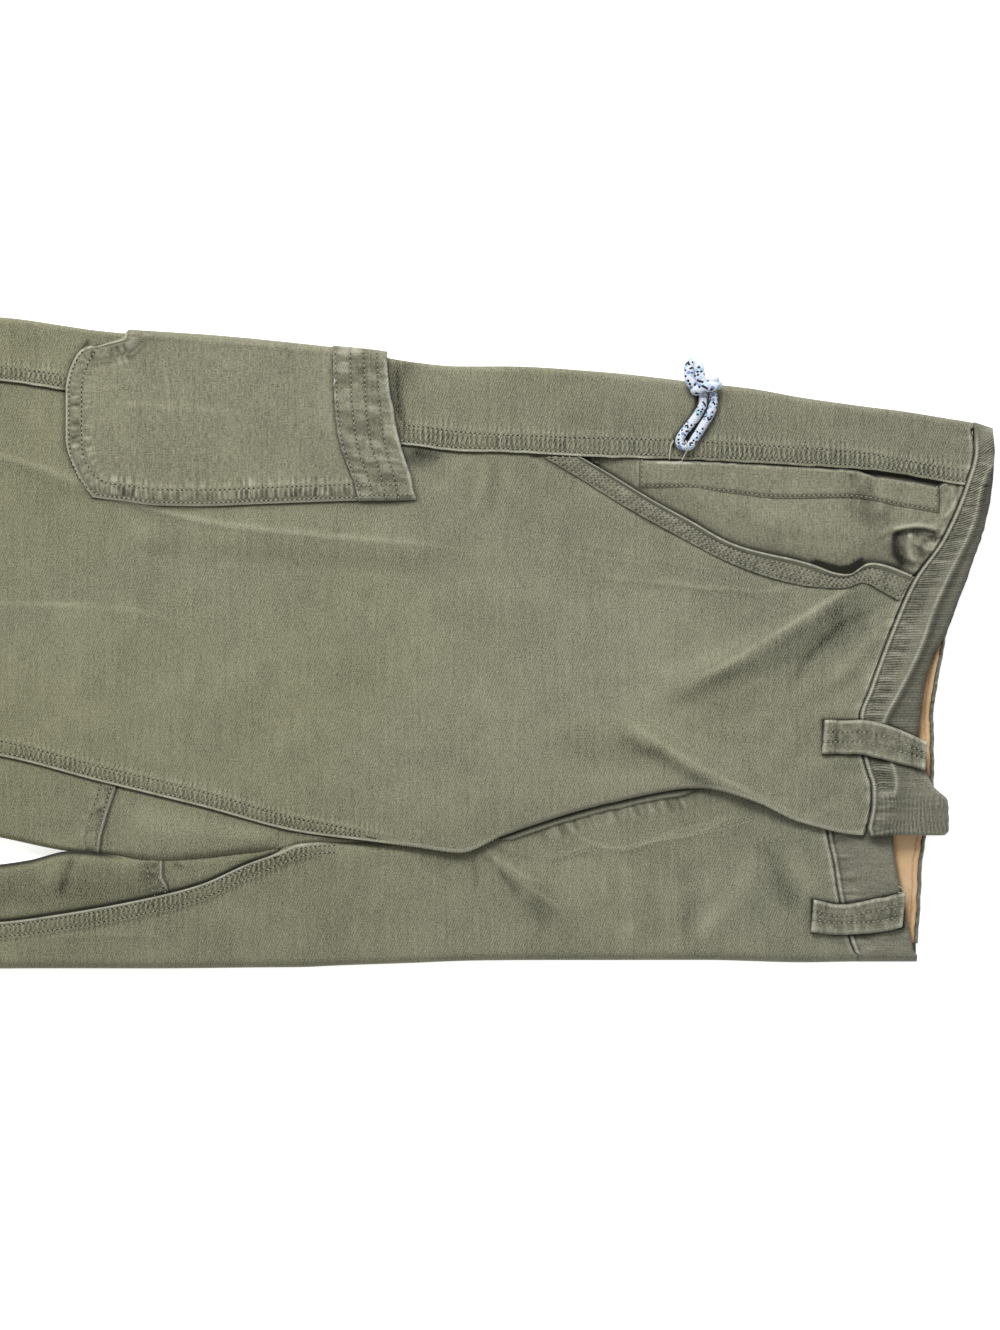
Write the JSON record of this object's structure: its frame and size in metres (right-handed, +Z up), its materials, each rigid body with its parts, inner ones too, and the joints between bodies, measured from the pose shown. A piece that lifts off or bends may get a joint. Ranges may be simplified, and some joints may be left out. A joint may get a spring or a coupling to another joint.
{
  "type": "cargo pants",
  "caption": "Canvas cargo trousers laid flat, front up, left side folded under, with thigh pocket, scoop pocket, waistband, belt loops and a braided pull cord.",
  "frame": {"origin": "centre of the underside's box, on the surface the trousers lie on", "axes": "+X along the legs to the waist, +Y across them to the wearer's right outseam, +Z up, off the surface"},
  "size_m": [1.1521, 0.3642, 0.0167],
  "materials": {
    "canvas": "washed olive cotton canvas with a fine slubbed twill, paler at worn seam edges",
    "lining": "tan cotton twill",
    "zip": "dark woven zip tape",
    "button": "plain brass shank button",
    "cord": "round braid, white with blue and black flecks"
  },
  "bodies": {
    "root": {"right_front": "canvas", "right_back": "canvas", "right_back_inner": "canvas", "gusset_right": "canvas", "left_front": "canvas", "left_back_inner": "canvas", "left_back_folded": "canvas", "gusset_left": "canvas", "right_hem": "canvas", "left_hem": "canvas", "waistband_right": "canvas", "waistband_left": "canvas", "waistband_back": "canvas", "waistband_lining": "lining", "scoop_pocket_facing": "canvas", "scoop_pocket_band": "canvas", "slot_pocket_welt": "canvas", "cargo_pocket": "canvas", "cargo_pocket_band": "canvas", "fly_shield": "canvas", "zip": "zip", "waist_button": "button", "belt_loop_right": "canvas", "belt_loop_left": "canvas", "pull_cord": "cord", "pull_knot": "cord"}
  },
  "joints": []
}
